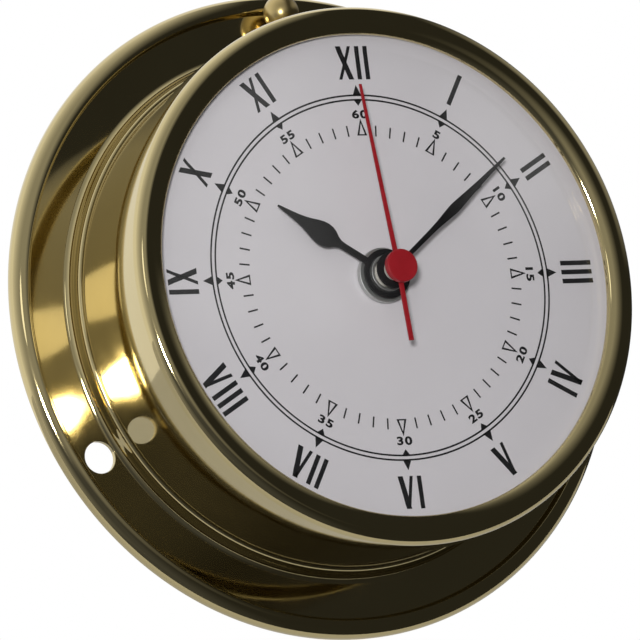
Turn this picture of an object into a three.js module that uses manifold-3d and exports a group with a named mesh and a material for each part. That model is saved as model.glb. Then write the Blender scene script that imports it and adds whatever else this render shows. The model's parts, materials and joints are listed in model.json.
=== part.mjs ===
// Brass ships clock for a bulkhead: mounting flange, drum, bezel, glass, dial, hands and quartz movement.
// Millimetres. The model is drawn with the clock's axis along local +Z: heights h count from the wall,
// x points to 3 o'clock and y to 12 o'clock. The whole group is then turned so that 12 o'clock is up
// and the dial faces -Y, with the origin at the centre of the flange's back.
import * as THREE from 'three';
import { mergeVertices } from 'three/addons/utils/BufferGeometryUtils.js';
import Module from 'manifold-3d';

// Fits and facets
const FIT = 0.3;
const RING_SEGMENTS = 48;
const SMALL_SEGMENTS = 16;
const PIVOT_SEGMENTS = 10;
const CUT_OVERRUN = 1;
const MERGE_DISTANCE = 1e-4;

// Mounting flange
const FLANGE_FACE_WIDTH = 5.9;
const FLANGE_THICKNESS = 1;
const FLANGE_BACK_ROUND = 0.5;
const LIP_ROUND = 2.4;
const COLLAR_WALL = 1.9;
const COLLAR_HEIGHT = 5.9;
const COLLAR_ROUND = 0.4;
const COLLAR_COVE = 1.8;
const LEDGE_THICKNESS = 1;
const LEDGE_WIDTH = 2.5;
const SCREW_HOLES = 3;
const SCREW_HOLE_ANGLE = 241.7;
const SCREW_HOLE_DIAMETER = 6.2;
const SCREW_HOLE_RIM = 0.1;

// Drum
const DRUM_RADIUS = 49.6;
const DRUM_WALL = 2;

// Lock screw near 12 o'clock, in a boss on the collar
const LOCK_ANGLE = 358.65;
const LOCK_BALL_RADIUS = 3.4;
const LOCK_BALL_INSET = 4.8;
const LOCK_SHANK_RADIUS = 1;
const LOCK_SHOULDER_RADIUS = 1.8;
const LOCK_BOSS_RADIUS = 2.6;
const LOCK_BOSS_REACH = 2;

// Dial
const DIAL_HEIGHT = 29.7;
const DIAL_THICKNESS = 1;

// Bezel, with heights above the dial
const BEZEL_WALL = 1.5;
const BEZEL_SKIRT = 6.2;
const BEZEL_SKIRT_TAPER = 0.4;
const BEZEL_REAR_ROUND = 0.6;
const BEZEL_WIDEST = 1.2;
const BEZEL_CROWN = 4.2;
const BEZEL_CROWN_INSET = 2.1;
const BEZEL_LIP_WIDTH = 3;
const BEZEL_LIP_TOP = 3.2;
const BEZEL_LIP_THICKNESS = 0.7;

// Glass and its retaining ring
const GLASS_EDGE_THICKNESS = 1;
const GLASS_DOME_THICKNESS = 1.5;
const GLASS_OVER_CAP = 3.9;
const RETAINING_RING_WIDTH = 2.3;

// Hands, with heights above the dial; a tip gap lies between a hand's end and the glass
const HAND_THICKNESS = 0.4;
const HOUR_HAND_ANGLE = 303;
const HOUR_HAND_HEIGHT = 2.1;
const HOUR_TIP_GAP = 20.6;
const HOUR_HUB_RADIUS = 4.7;
const HOUR_SHAFT_WIDTH = 1.3;
const HOUR_BULB_AT = 14.4;
const HOUR_BULB_WIDTH = 4.6;
const HOUR_BULB_LENGTH = 7.4;
const HOUR_BUSH_WALL = 0.5;
const HOUR_BUSH_HEIGHT = 0.9;
const MINUTE_HAND_ANGLE = 51.75;
const MINUTE_HAND_HEIGHT = 4.8;
const MINUTE_TIP_GAP = 10.9;
const MINUTE_HUB_RADIUS = 3.45;
const MINUTE_NECK_WIDTH = 1;
const MINUTE_LEAF_WIDTH = 1.6;
const MINUTE_LEAF_AT = 17.3;
const MINUTE_TIP_DROP = 1.2;
const SECOND_HAND_ANGLE = 357.3;
const SECOND_HAND_HEIGHT = 6.7;
const SECOND_TIP_GAP = 9.7;
const SECOND_HAND_TAIL = 13.8;
const SECOND_HUB_RADIUS = 2.2;
const SECOND_ARM_WIDTH = 0.9;
const SECOND_TIP_WIDTH = 0.5;
const SECOND_TIP_DROP = 2;
const SECOND_CAP_RADIUS = 3.3;
const SECOND_CAP_THICKNESS = 1.4;
const SECOND_CAP_ROUND = 0.3;
const HAND_TIP_WIDTH = 0.3;
const HAND_CURVE_STEPS = 8;

// Quartz movement
const MOVEMENT_WALL = 1.2;
const MOVEMENT_CORNER = 3;
const PIVOT_DEPTH = 0.7;
const BUSH_WALL = 1.05;
const BUSH_ABOVE_DIAL = 1.7;
const DIAL_NUT_WALL = 0.9;
const DIAL_NUT_THICKNESS = 1.2;
const WASHER_WIDTH = 4.7;
const WASHER_THICKNESS = 0.8;
const SECONDS_ARBOR_RADIUS = 0.75;
const TUBE_WALL_MINUTE = 0.7;
const TUBE_WALL_HOUR = 0.6;
const ARBOR_RADIUS = 0.5;
const SETTING_ARBOR_RADIUS = 0.9;
const KNOB_RADIUS = 4.5;
const KNOB_THICKNESS = 4;
const KNOB_FLUTES = 16;
const KNOB_FLUTE_DEPTH = 0.35;
const KNOB_BACK_WALL = 1;

// AA cell and its contacts
const CELL_RADIUS = 7.1;
const CELL_LENGTH = 49;
const CELL_NUB_RADIUS = 2.7;
const CELL_NUB_LENGTH = 1;
const CELL_EDGE_ROUND = 0.6;
const CONTACT_THICKNESS = 0.5;
const CONTACT_WIDTH = 9;
const CONTACT_BUMP_RADIUS = 2.4;
const CONTACT_BUMP_HEIGHT = 1.4;

// Gear train: the arbors stand on one circle, and the wheels lie in levels behind the movement's front wall
const ROTOR_PINION_TEETH = 8;
const INTERMEDIATE_WHEEL_TEETH = 40;
const INTERMEDIATE_PINION_TEETH = 8;
const SECONDS_WHEEL_TEETH = 48;
const SECONDS_PINION_TEETH = 8;
const THIRD_WHEEL_TEETH = 60;
const THIRD_PINION_TEETH = 8;
const CENTRE_WHEEL_TEETH = 64;
const CANNON_PINION_TEETH = 12;
const SETTING_WHEEL_TEETH = 36;
const SETTING_PINION_TEETH = 10;
const HOUR_WHEEL_TEETH = 40;
const ARBOR_CIRCLE_RADIUS = 9.8;
const ROTOR_SPACING = 7.2;
const INTERMEDIATE_DIRECTION = 100;
const ROTOR_DIRECTION = 150;
const THIRD_DIRECTION = 180;
const SETTING_DIRECTION = 40;
const WHEEL_THICKNESS = 0.8;
const PINION_THICKNESS = 1.4;
const LEVEL_GAP = 0.9;
const WHEEL_ROOM = 1.5;
const ADDENDUM = 0.95;
const DEDENDUM = 1.3;
const WHEEL_TOOTH_ROOT = 0.9;
const WHEEL_TOOTH_TIP = 0.32;
const PINION_LEAF_ROOT = 0.68;
const PINION_LEAF_TIP = 0.28;

// Stepping motor and circuit board, seated on the rear cover
const STATOR_THICKNESS = 1;
const STATOR_ARM_WIDTH = 4.5;
const STATOR_SPAN = 28;
const STATOR_EYE_RADIUS = 5.2;
const ROTOR_MAGNET_RADIUS = 2.8;
const ROTOR_MAGNET_THICKNESS = 1.3;
const ROTOR_AIR_GAP = 0.5;
const CORE_WIDTH = 3;
const CORE_THICKNESS = 0.8;
const CORE_INSET = 0.6;
const COIL_GAP = 0.4;
const COIL_ROOM = 0.4;
const BOBBIN_WALL = 0.3;
const BOBBIN_FLANGE_THICKNESS = 0.8;
const BOBBIN_FLANGE_WIDTH = 8;
const BOBBIN_FLANGE_DEPTH = 3.6;
const WINDING_INSET = 0.2;
const BOARD_WIDTH = 16;
const BOARD_LENGTH = 11;
const BOARD_THICKNESS = 0.8;
const BOARD_GAP = 1.2;
const CRYSTAL_RADIUS = 1;
const CRYSTAL_LENGTH = 6;

// Sizes and heights of the case that follow
const COLLAR_TOP = FLANGE_THICKNESS + COLLAR_HEIGHT;
const COLLAR_BORE = DRUM_RADIUS + FIT;
const COLLAR_RADIUS = COLLAR_BORE + COLLAR_WALL;
const FLANGE_RADIUS = COLLAR_RADIUS + FLANGE_FACE_WIDTH + 2 * LIP_ROUND;
const SCREW_HOLE_RING_RADIUS = COLLAR_RADIUS + FLANGE_FACE_WIDTH / 2;
const LOCK_BALL_AT = FLANGE_RADIUS - LOCK_BALL_INSET;
const LOCK_HEIGHT = FLANGE_THICKNESS + LIP_ROUND + FIT + LOCK_BALL_RADIUS;
const LOCK_BOSS_END = COLLAR_RADIUS + LOCK_BOSS_REACH;
const DRUM_BACK = LEDGE_THICKNESS + FIT;
const DIAL_BACK = DIAL_HEIGHT - DIAL_THICKNESS;
const BEZEL_BORE = DRUM_RADIUS + FIT;
const BEZEL_RADIUS = BEZEL_BORE + BEZEL_WALL;
const BEZEL_LIP_RADIUS = BEZEL_BORE - BEZEL_LIP_WIDTH;
const DIAL_RADIUS = BEZEL_BORE - FIT;
const GLASS_SEAT = DIAL_HEIGHT + BEZEL_LIP_TOP - BEZEL_LIP_THICKNESS;
const GLASS_RADIUS = BEZEL_LIP_RADIUS - FIT;
const GLASS_INNER_RADIUS = GLASS_RADIUS - GLASS_DOME_THICKNESS;

// Hands that follow
const SECOND_CAP_LOW = DIAL_HEIGHT + SECOND_HAND_HEIGHT + HAND_THICKNESS + FIT;
const GLASS_INNER_TOP = SECOND_CAP_LOW + SECOND_CAP_THICKNESS + GLASS_OVER_CAP;
const HOUR_HAND_LENGTH = GLASS_INNER_RADIUS - HOUR_TIP_GAP;
const MINUTE_HAND_LENGTH = GLASS_INNER_RADIUS - MINUTE_TIP_GAP;
const SECOND_HAND_LENGTH = GLASS_INNER_RADIUS - SECOND_TIP_GAP;
const MINUTE_BORE = SECONDS_ARBOR_RADIUS + FIT;
const MINUTE_TUBE_RADIUS = MINUTE_BORE + TUBE_WALL_MINUTE;
const HOUR_BORE = MINUTE_TUBE_RADIUS + FIT;
const HOUR_TUBE_RADIUS = HOUR_BORE + TUBE_WALL_HOUR;
const BUSH_BORE = HOUR_TUBE_RADIUS + FIT;
const BUSH_RADIUS = BUSH_BORE + BUSH_WALL;

// Movement, from its front wall down through the levels of the train to the motor on the rear cover
const MOVEMENT_FRONT = DIAL_BACK - WASHER_THICKNESS - 2 * FIT;
const CAVITY_TOP = MOVEMENT_FRONT - MOVEMENT_WALL;
const LEVEL_STEP = WHEEL_THICKNESS + LEVEL_GAP;
const HOUR_LEVEL = CAVITY_TOP - LEVEL_STEP;
const SETTING_LEVEL = HOUR_LEVEL - LEVEL_STEP;
const CENTRE_LEVEL = SETTING_LEVEL - LEVEL_STEP;
const THIRD_LEVEL = CENTRE_LEVEL - LEVEL_STEP;
const SECONDS_LEVEL = THIRD_LEVEL - LEVEL_STEP;
const ROTOR_LEVEL = SECONDS_LEVEL - LEVEL_STEP;
const PINION_EXTRA = (PINION_THICKNESS - WHEEL_THICKNESS) / 2;
const MAGNET_BASE = ROTOR_LEVEL - PINION_EXTRA - FIT - ROTOR_MAGNET_THICKNESS;
const STATOR_BASE = MAGNET_BASE - FIT;
const CORE_MIDDLE = STATOR_BASE + STATOR_THICKNESS + FIT + CORE_THICKNESS / 2;
const COVER_TOP = CORE_MIDDLE - BOBBIN_FLANGE_DEPTH / 2 - FIT;
const MOVEMENT_BACK = COVER_TOP - MOVEMENT_WALL;
const ARBOR_BOTTOM = COVER_TOP - PIVOT_DEPTH + FIT;
const ARBOR_TOP = CAVITY_TOP + PIVOT_DEPTH - FIT;
const KNOB_TOP = MOVEMENT_BACK - FIT;
const KNOB_LOW = KNOB_TOP - KNOB_THICKNESS;

// Finishes
const finish = (color, roughness, metalness) =>
  new THREE.MeshStandardMaterial({ color, roughness, metalness });
const BRASS = finish(0xc8a84e, 0.12, 1);
const STEEL = finish(0xa9abaa, 0.35, 1);
const GLASS = finish(0xf4f8f8, 0.03, 0);
const DIAL_WHITE = finish(0xe9e6ea, 0.6, 0);
const HAND_BLACK = finish(0x101010, 0.45, 0);
const HAND_RED = finish(0xa3121c, 0.4, 0);
const HOUSING_BLACK = finish(0x1c1c1e, 0.55, 0);
const RUBBER = finish(0x18181a, 0.9, 0);
const GEAR_WHITE = finish(0xe8e4d8, 0.5, 0);
const COPPER = finish(0xb8703a, 0.35, 1);
const BOARD_GREEN = finish(0x2f5d3a, 0.6, 0);
const CELL_GREY = finish(0x6d7278, 0.4, 0.4);

const wasm = await Module();
wasm.setup();

const QUARTER = Math.PI / 2;
const radians = THREE.MathUtils.degToRad;
const clockwise = (angle) => -radians(angle);
const polar = (radius, angle) => new THREE.Vector2(radius * Math.cos(angle), radius * Math.sin(angle));

// Where each arbor of the train stands, its radius and its distance from the wheel that it meets
const arborOnCircle = (direction, arbor) => {
  const spacing = ARBOR_CIRCLE_RADIUS + arbor - ARBOR_RADIUS;
  return { at: polar(spacing, radians(direction)), arbor, spacing };
};
const INTERMEDIATE = arborOnCircle(INTERMEDIATE_DIRECTION, ARBOR_RADIUS);
const THIRD = arborOnCircle(THIRD_DIRECTION, ARBOR_RADIUS);
const SETTING = arborOnCircle(SETTING_DIRECTION, SETTING_ARBOR_RADIUS);
const ROTOR = {
  at: polar(ROTOR_SPACING, radians(ROTOR_DIRECTION)).add(INTERMEDIATE.at),
  arbor: ARBOR_RADIUS,
  spacing: ROTOR_SPACING,
};

// Plan of the motor round the rotor, and of the rooms for the train and the cell
const STATOR_LEFT = ROTOR.at.x - STATOR_SPAN / 2;
const STATOR_RIGHT = ROTOR.at.x + STATOR_SPAN / 2;
const STATOR_BOTTOM = ROTOR.at.y - STATOR_ARM_WIDTH / 2;
const CORE_Y = ROTOR.at.y + STATOR_EYE_RADIUS + COIL_GAP + BOBBIN_FLANGE_WIDTH / 2;
const STATOR_TOP = CORE_Y + CORE_WIDTH / 2 + CORE_INSET;
const ROOM_TOP = CORE_Y + BOBBIN_FLANGE_WIDTH / 2 + COIL_ROOM;
const ROOM_BOTTOM = ARBOR_RADIUS - ARBOR_CIRCLE_RADIUS - WHEEL_ROOM;
const CELL_ROOM_TOP = ROOM_BOTTOM - MOVEMENT_WALL;
const CELL_AT_Y = CELL_ROOM_TOP - FIT - CELL_RADIUS;
const CELL_ROOM_BOTTOM = CELL_AT_Y - CELL_RADIUS - FIT;
const CONTACTS_LENGTH = CONTACT_BUMP_HEIGHT + 2 * CONTACT_THICKNESS;
const CELL_ROOM_LENGTH = CELL_LENGTH + CELL_NUB_LENGTH + CONTACTS_LENGTH + 4 * FIT;
const CELL_HEIGHT = CAVITY_TOP - FIT - CELL_RADIUS;
const CELL_END = CELL_ROOM_LENGTH / 2 - CONTACT_THICKNESS - 2 * FIT;
const CELL_START = CELL_END - CELL_NUB_LENGTH - CELL_LENGTH;
const ROOM_HALF = CELL_ROOM_LENGTH / 2;
const MOVEMENT_HALF = ROOM_HALF + MOVEMENT_WALL;
const MOVEMENT_TOP = ROOM_TOP + MOVEMENT_WALL;
const MOVEMENT_BOTTOM = CELL_ROOM_BOTTOM - MOVEMENT_WALL;

// Volume enclosed by a merged, indexed geometry; negative where its faces point inward.
function signedVolume(geometry) {
  const corners = geometry.attributes.position;
  const index = geometry.index.array;
  const [a, b, c] = [new THREE.Vector3(), new THREE.Vector3(), new THREE.Vector3()];
  let sum = 0;
  for (let i = 0; i < index.length; i += 3) {
    a.fromBufferAttribute(corners, index[i]);
    b.fromBufferAttribute(corners, index[i + 1]);
    c.fromBufferAttribute(corners, index[i + 2]);
    sum += a.dot(b.cross(c)) / 6;
  }
  return sum;
}

// The same surface with shared corners, no empty triangles and its faces turned outward.
function closed(geometry) {
  const bare = geometry.clone();
  bare.deleteAttribute('normal');
  bare.deleteAttribute('uv');
  const merged = mergeVertices(bare, MERGE_DISTANCE);
  const index = [];
  for (let i = 0; i < merged.index.count; i += 3) {
    const [a, b, c] = [0, 1, 2].map((k) => merged.index.getX(i + k));
    if (a !== b && b !== c && c !== a) index.push(a, b, c);
  }
  merged.setIndex(index);
  if (signedVolume(merged) < 0) merged.setIndex(index.reverse());
  return merged;
}

function toSolid(geometry) {
  const merged = closed(geometry);
  const vertProperties = new Float32Array(merged.attributes.position.array);
  const triVerts = new Uint32Array(merged.index.array);
  return new wasm.Manifold(new wasm.Mesh({ numProp: 3, vertProperties, triVerts }));
}

function toGeometry(solid) {
  const mesh = solid.getMesh();
  const geometry = new THREE.BufferGeometry();
  geometry.setAttribute('position', new THREE.BufferAttribute(new Float32Array(mesh.vertProperties), 3));
  geometry.setIndex(new THREE.BufferAttribute(new Uint32Array(mesh.triVerts), 1));
  return geometry;
}

const join = (...pieces) => toGeometry(pieces.map(toSolid).reduce((sum, piece) => sum.add(piece)));
const cut = (body, ...tools) =>
  toGeometry(tools.map(toSolid).reduce((rest, tool) => rest.subtract(tool), toSolid(body)));

// Points of an elliptical arc about (x, y).
function arc(x, y, radiusX, radiusY, from, to, steps) {
  return Array.from({ length: steps + 1 }, (_, i) => {
    const angle = from + ((to - from) * i) / steps;
    return [x + radiusX * Math.cos(angle), y + radiusY * Math.sin(angle)];
  });
}

// A closed outline of [radius, height] points turned about the clock's axis.
function revolve(outline, segments) {
  const points = [...outline, outline[0]].map(([radius, height]) => new THREE.Vector2(radius, height));
  return new THREE.LatheGeometry(points, segments).rotateX(QUARTER);
}

const tube = (inner, outer, low, high, segments) =>
  revolve([[inner, low], [outer, low], [outer, high], [inner, high]], segments);
const rod = (radius, low, high, segments) => tube(0, radius, low, high, segments);

// A flat plate: its outline in x and y, from one height to another.
function plate(shape, low, high, curveSegments = SMALL_SEGMENTS) {
  const depth = high - low;
  return new THREE.ExtrudeGeometry(shape, { depth, bevelEnabled: false, curveSegments }).translate(0, 0, low);
}

const outlineOf = (points) => new THREE.Shape(points.map(([x, y]) => new THREE.Vector2(x, y)));

function block(left, right, bottom, top, low, high) {
  return new THREE.BoxGeometry(right - left, top - bottom, high - low)
    .translate((left + right) / 2, (bottom + top) / 2, (low + high) / 2);
}

// A rectangle with round corners; squareBottom leaves its two lower corners sharp.
function roundedRectangle(left, right, bottom, top, corner, squareBottom = false) {
  const shape = new THREE.Shape();
  const lower = squareBottom ? 0 : corner;
  shape.moveTo(left + lower, bottom);
  shape.lineTo(right - lower, bottom);
  if (lower) shape.absarc(right - lower, bottom + lower, lower, -QUARTER, 0);
  shape.lineTo(right, top - corner);
  shape.absarc(right - corner, top - corner, corner, 0, QUARTER);
  shape.lineTo(left + corner, top);
  shape.absarc(left + corner, top - corner, corner, QUARTER, Math.PI);
  shape.lineTo(left, bottom + lower);
  if (lower) shape.absarc(left + lower, bottom + lower, lower, Math.PI, Math.PI + QUARTER);
  return shape;
}

// Case

function mountingFlange() {
  const face = FLANGE_THICKNESS;
  const back = FLANGE_BACK_ROUND;
  const round = COLLAR_ROUND;
  const cove = COLLAR_COVE;
  const ring = revolve([
    [DRUM_RADIUS - LEDGE_WIDTH, 0],
    ...arc(FLANGE_RADIUS - back, back, back, back, -QUARTER, 0, 2),
    ...arc(FLANGE_RADIUS - LIP_ROUND, face, LIP_ROUND, LIP_ROUND, 0, Math.PI, 6),
    ...arc(COLLAR_RADIUS + cove, face + cove, cove, cove, -QUARTER, -Math.PI, 3),
    ...arc(COLLAR_RADIUS - round, COLLAR_TOP - round, round, round, 0, QUARTER, 2),
    [COLLAR_BORE, COLLAR_TOP],
    [COLLAR_BORE, LEDGE_THICKNESS],
    [DRUM_RADIUS - LEDGE_WIDTH, LEDGE_THICKNESS],
  ], RING_SEGMENTS);
  const radius = SCREW_HOLE_DIAMETER / 2;
  const hole = revolve([
    [0, -CUT_OVERRUN],
    [radius, -CUT_OVERRUN],
    [radius, face - SCREW_HOLE_RIM],
    [radius + SCREW_HOLE_RIM, face],
    [radius + SCREW_HOLE_RIM, face + cove],
    [0, face + cove],
  ], SMALL_SEGMENTS);
  const holes = Array.from({ length: SCREW_HOLES }, (_, i) => {
    const turn = clockwise(SCREW_HOLE_ANGLE) + (2 * Math.PI * i) / SCREW_HOLES;
    const at = polar(SCREW_HOLE_RING_RADIUS, QUARTER + turn);
    return hole.clone().translate(at.x, at.y, 0);
  });
  const atLock = (geometry) =>
    geometry.rotateX(-QUARTER).translate(0, 0, LOCK_HEIGHT).rotateZ(clockwise(LOCK_ANGLE));
  const boss = atLock(rod(LOCK_BOSS_RADIUS, COLLAR_BORE + FIT, LOCK_BOSS_END, SMALL_SEGMENTS));
  const bore = LOCK_SHANK_RADIUS + FIT;
  const lockHole = atLock(rod(bore, COLLAR_BORE - CUT_OVERRUN, LOCK_BOSS_END + CUT_OVERRUN, PIVOT_SEGMENTS));
  return cut(join(ring, boss), ...holes, lockHole);
}

function caseDrum() {
  return tube(DRUM_RADIUS - DRUM_WALL, DRUM_RADIUS, DRUM_BACK, DIAL_BACK - FIT, RING_SEGMENTS);
}

// Drawn along +Z from the clock's axis outward; its node turns it to its place.
function lockScrew() {
  const shoulder = LOCK_BOSS_END + FIT;
  const neck = Math.asin(LOCK_SHOULDER_RADIUS / LOCK_BALL_RADIUS);
  return revolve([
    [0, DRUM_RADIUS + FIT],
    [LOCK_SHANK_RADIUS, DRUM_RADIUS + FIT],
    [LOCK_SHANK_RADIUS, shoulder],
    [LOCK_SHOULDER_RADIUS, shoulder],
    ...arc(0, LOCK_BALL_AT, LOCK_BALL_RADIUS, LOCK_BALL_RADIUS, neck - QUARTER, QUARTER, 8),
  ], SMALL_SEGMENTS);
}

function bezel() {
  const at = (height) => DIAL_HEIGHT + height;
  const rear = BEZEL_RADIUS - BEZEL_SKIRT_TAPER;
  const crown = BEZEL_RADIUS - BEZEL_CROWN_INSET;
  const outerRise = BEZEL_CROWN - BEZEL_WIDEST;
  const innerRise = BEZEL_CROWN - BEZEL_LIP_TOP;
  return revolve([
    [BEZEL_BORE, at(-BEZEL_SKIRT)],
    [rear - BEZEL_REAR_ROUND, at(-BEZEL_SKIRT)],
    [rear, at(BEZEL_REAR_ROUND - BEZEL_SKIRT)],
    ...arc(crown, at(BEZEL_WIDEST), BEZEL_CROWN_INSET, outerRise, 0, QUARTER, 4),
    ...arc(crown, at(BEZEL_LIP_TOP), crown - BEZEL_LIP_RADIUS, innerRise, QUARTER, Math.PI, 3).slice(1),
    [BEZEL_LIP_RADIUS, GLASS_SEAT],
    [BEZEL_BORE, GLASS_SEAT],
  ], RING_SEGMENTS);
}

// Heights of a dome that rises from a ring to its top on the axis.
function dome(radius, base, rise, steps) {
  const sphere = (radius * radius + rise * rise) / (2 * rise);
  const half = Math.asin(radius / sphere);
  return arc(0, base + rise - sphere, sphere, sphere, QUARTER - half, QUARTER, steps);
}

function glass() {
  const top = GLASS_SEAT - FIT;
  const bottom = top - GLASS_EDGE_THICKNESS;
  return revolve([
    ...dome(GLASS_INNER_RADIUS, bottom, GLASS_INNER_TOP - bottom, 4).reverse(),
    [DIAL_RADIUS, bottom],
    [DIAL_RADIUS, top],
    ...dome(GLASS_RADIUS, top, GLASS_INNER_TOP + GLASS_DOME_THICKNESS - top, 4),
  ], RING_SEGMENTS);
}

function glassRetainingRing() {
  const high = GLASS_SEAT - GLASS_EDGE_THICKNESS - 2 * FIT;
  return tube(DIAL_RADIUS - RETAINING_RING_WIDTH, DIAL_RADIUS, DIAL_HEIGHT + FIT, high, RING_SEGMENTS);
}

const dial = () => tube(BUSH_RADIUS + FIT, DIAL_RADIUS, DIAL_BACK, DIAL_HEIGHT, RING_SEGMENTS);

function dialNut() {
  const low = DIAL_HEIGHT + FIT;
  const bore = BUSH_RADIUS + FIT;
  return tube(bore, bore + DIAL_NUT_WALL, low, low + DIAL_NUT_THICKNESS, SMALL_SEGMENTS);
}

function dialWasher() {
  const low = MOVEMENT_FRONT + FIT;
  const bore = BUSH_RADIUS + FIT;
  return tube(bore, bore + WASHER_WIDTH, low, low + WASHER_THICKNESS, SMALL_SEGMENTS);
}

// Hands, drawn pointing to 12 o'clock

// A flat blade joined to a round hub with a bore; drop is its fall per millimetre beyond the hub.
function hand(blade, hub, bore, height, drop = 0) {
  const low = DIAL_HEIGHT + height;
  const high = low + HAND_THICKNESS;
  const disc = tube(0, hub, low, high, SMALL_SEGMENTS);
  const hole = rod(bore, low - CUT_OVERRUN, high + CUT_OVERRUN, SMALL_SEGMENTS);
  const geometry = cut(join(plate(blade, low, high, HAND_CURVE_STEPS), disc), hole);
  const corners = geometry.attributes.position;
  for (let i = 0; i < corners.count; i += 1) {
    const beyond = Math.max(0, corners.getY(i) - hub);
    corners.setZ(i, corners.getZ(i) - drop * beyond);
  }
  return geometry;
}

function hourHand() {
  const half = HOUR_SHAFT_WIDTH / 2;
  const bulb = HOUR_BULB_WIDTH / 2;
  const tip = HAND_TIP_WIDTH / 2;
  const low = HOUR_BULB_AT - HOUR_BULB_LENGTH / 3;
  const high = HOUR_BULB_AT + HOUR_BULB_LENGTH / 2;
  const blade = new THREE.Shape();
  blade.moveTo(half, 0);
  blade.lineTo(half, low);
  blade.bezierCurveTo(bulb * 1.4, low, bulb * 1.2, HOUR_BULB_AT + bulb, half, high);
  blade.lineTo(tip, HOUR_HAND_LENGTH);
  blade.lineTo(-tip, HOUR_HAND_LENGTH);
  blade.lineTo(-half, high);
  blade.bezierCurveTo(-bulb * 1.2, HOUR_BULB_AT + bulb, -bulb * 1.4, low, -half, low);
  blade.lineTo(-half, 0);
  return hand(blade, HOUR_HUB_RADIUS, HOUR_TUBE_RADIUS + HOUR_BUSH_WALL + 2 * FIT, HOUR_HAND_HEIGHT);
}

function hourHandBush() {
  const inner = HOUR_TUBE_RADIUS + FIT;
  const low = DIAL_HEIGHT + HOUR_HAND_HEIGHT;
  return tube(inner, inner + HOUR_BUSH_WALL, low, low + HOUR_BUSH_HEIGHT, SMALL_SEGMENTS);
}

function minuteHand() {
  const [neck, leaf, tip] = [MINUTE_NECK_WIDTH, MINUTE_LEAF_WIDTH, HAND_TIP_WIDTH].map((width) => width / 2);
  const right = [[neck, 0], [neck, MINUTE_HUB_RADIUS], [leaf, MINUTE_LEAF_AT], [tip, MINUTE_HAND_LENGTH]];
  const left = right.map(([x, y]) => [-x, y]).reverse();
  const blade = outlineOf([...right, ...left]);
  const drop = MINUTE_TIP_DROP / (MINUTE_HAND_LENGTH - MINUTE_HUB_RADIUS);
  return hand(blade, MINUTE_HUB_RADIUS, MINUTE_TUBE_RADIUS + FIT, MINUTE_HAND_HEIGHT, drop);
}

function secondHand() {
  const [arm, tip] = [SECOND_ARM_WIDTH / 2, SECOND_TIP_WIDTH / 2];
  const right = [[arm, -SECOND_HAND_TAIL], [arm, SECOND_HUB_RADIUS], [tip, SECOND_HAND_LENGTH]];
  const left = right.map(([x, y]) => [-x, y]).reverse();
  const blade = outlineOf([...right, ...left]);
  const drop = SECOND_TIP_DROP / (SECOND_HAND_LENGTH - SECOND_HUB_RADIUS);
  return hand(blade, SECOND_HUB_RADIUS, SECONDS_ARBOR_RADIUS + FIT, SECOND_HAND_HEIGHT, drop);
}

function secondHandCap() {
  const high = SECOND_CAP_LOW + SECOND_CAP_THICKNESS;
  const round = SECOND_CAP_ROUND;
  return revolve([
    [0, SECOND_CAP_LOW],
    [SECOND_CAP_RADIUS, SECOND_CAP_LOW],
    ...arc(SECOND_CAP_RADIUS - round, high - round, round, round, 0, QUARTER, 2),
    [0, high],
  ], SMALL_SEGMENTS);
}

// Movement housing and power

function pivotHoles(low, high) {
  return [ROTOR, INTERMEDIATE, THIRD, SETTING].map(({ at, arbor }) =>
    rod(arbor + FIT, low, high, PIVOT_SEGMENTS).translate(at.x, at.y, 0));
}

function movementFrontShell() {
  const low = COVER_TOP + FIT;
  const under = low - CUT_OVERRUN;
  const sides = [-MOVEMENT_HALF, MOVEMENT_HALF, MOVEMENT_BOTTOM, MOVEMENT_TOP];
  const outline = roundedRectangle(...sides, MOVEMENT_CORNER);
  const box = plate(outline, low, MOVEMENT_FRONT, 4);
  const bushTop = DIAL_HEIGHT + BUSH_ABOVE_DIAL;
  const bush = rod(BUSH_RADIUS, MOVEMENT_FRONT - MOVEMENT_WALL / 2, bushTop, SMALL_SEGMENTS);
  const trainRoom = block(-ROOM_HALF, ROOM_HALF, ROOM_BOTTOM, ROOM_TOP, under, CAVITY_TOP);
  const cellRoom = block(-ROOM_HALF, ROOM_HALF, CELL_ROOM_BOTTOM, CELL_ROOM_TOP, under, CAVITY_TOP);
  const bore = rod(BUSH_BORE, under, bushTop + CUT_OVERRUN, SMALL_SEGMENTS);
  const pivots = pivotHoles(CAVITY_TOP - CUT_OVERRUN, CAVITY_TOP + PIVOT_DEPTH);
  return cut(join(box, bush), trainRoom, cellRoom, bore, ...pivots);
}

function movementRearCover() {
  const sides = [-MOVEMENT_HALF, MOVEMENT_HALF, CELL_ROOM_TOP, MOVEMENT_TOP];
  const outline = roundedRectangle(...sides, MOVEMENT_CORNER, true);
  const sheet = plate(outline, MOVEMENT_BACK, COVER_TOP, 4);
  const depths = [COVER_TOP - PIVOT_DEPTH, COVER_TOP + CUT_OVERRUN];
  const pivots = pivotHoles(...depths);
  const seconds = rod(SECONDS_ARBOR_RADIUS + FIT, ...depths, PIVOT_SEGMENTS);
  const knob = rod(SETTING_ARBOR_RADIUS + FIT, MOVEMENT_BACK - CUT_OVERRUN, COVER_TOP, PIVOT_SEGMENTS)
    .translate(SETTING.at.x, SETTING.at.y, 0);
  return cut(sheet, ...pivots, seconds, knob);
}

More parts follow.
